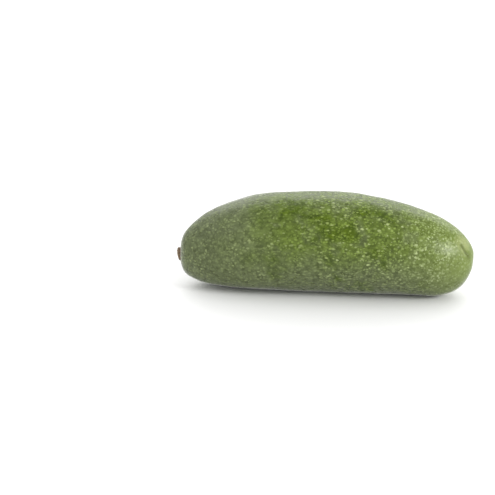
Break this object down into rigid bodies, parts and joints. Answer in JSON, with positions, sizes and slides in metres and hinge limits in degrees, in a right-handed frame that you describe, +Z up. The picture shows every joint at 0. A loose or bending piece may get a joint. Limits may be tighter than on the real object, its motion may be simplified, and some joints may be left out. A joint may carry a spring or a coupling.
{
  "type": "seedless cocktail avocado",
  "caption": "Whole small seedless avocado, long with an arched back and a straighter underside, lying on a small flat spot. A dry stem button closes its stem end.",
  "frame": {"origin": "bottom centre of the whole fruit's box, on the surface it lies on", "axes": "+X along the fruit from its stem end to its blossom end, +Z up, -Y the side that the picture shows"},
  "size_m": [0.0796, 0.0272, 0.0268],
  "materials": {
    "skin": "satin green fruit skin, leathery and slightly waxy, with many small pale lenticels",
    "stalk": "dry matt stalk, brown"
  },
  "bodies": {
    "root": {"fruit": "skin", "stem_button": "stalk"}
  },
  "joints": []
}
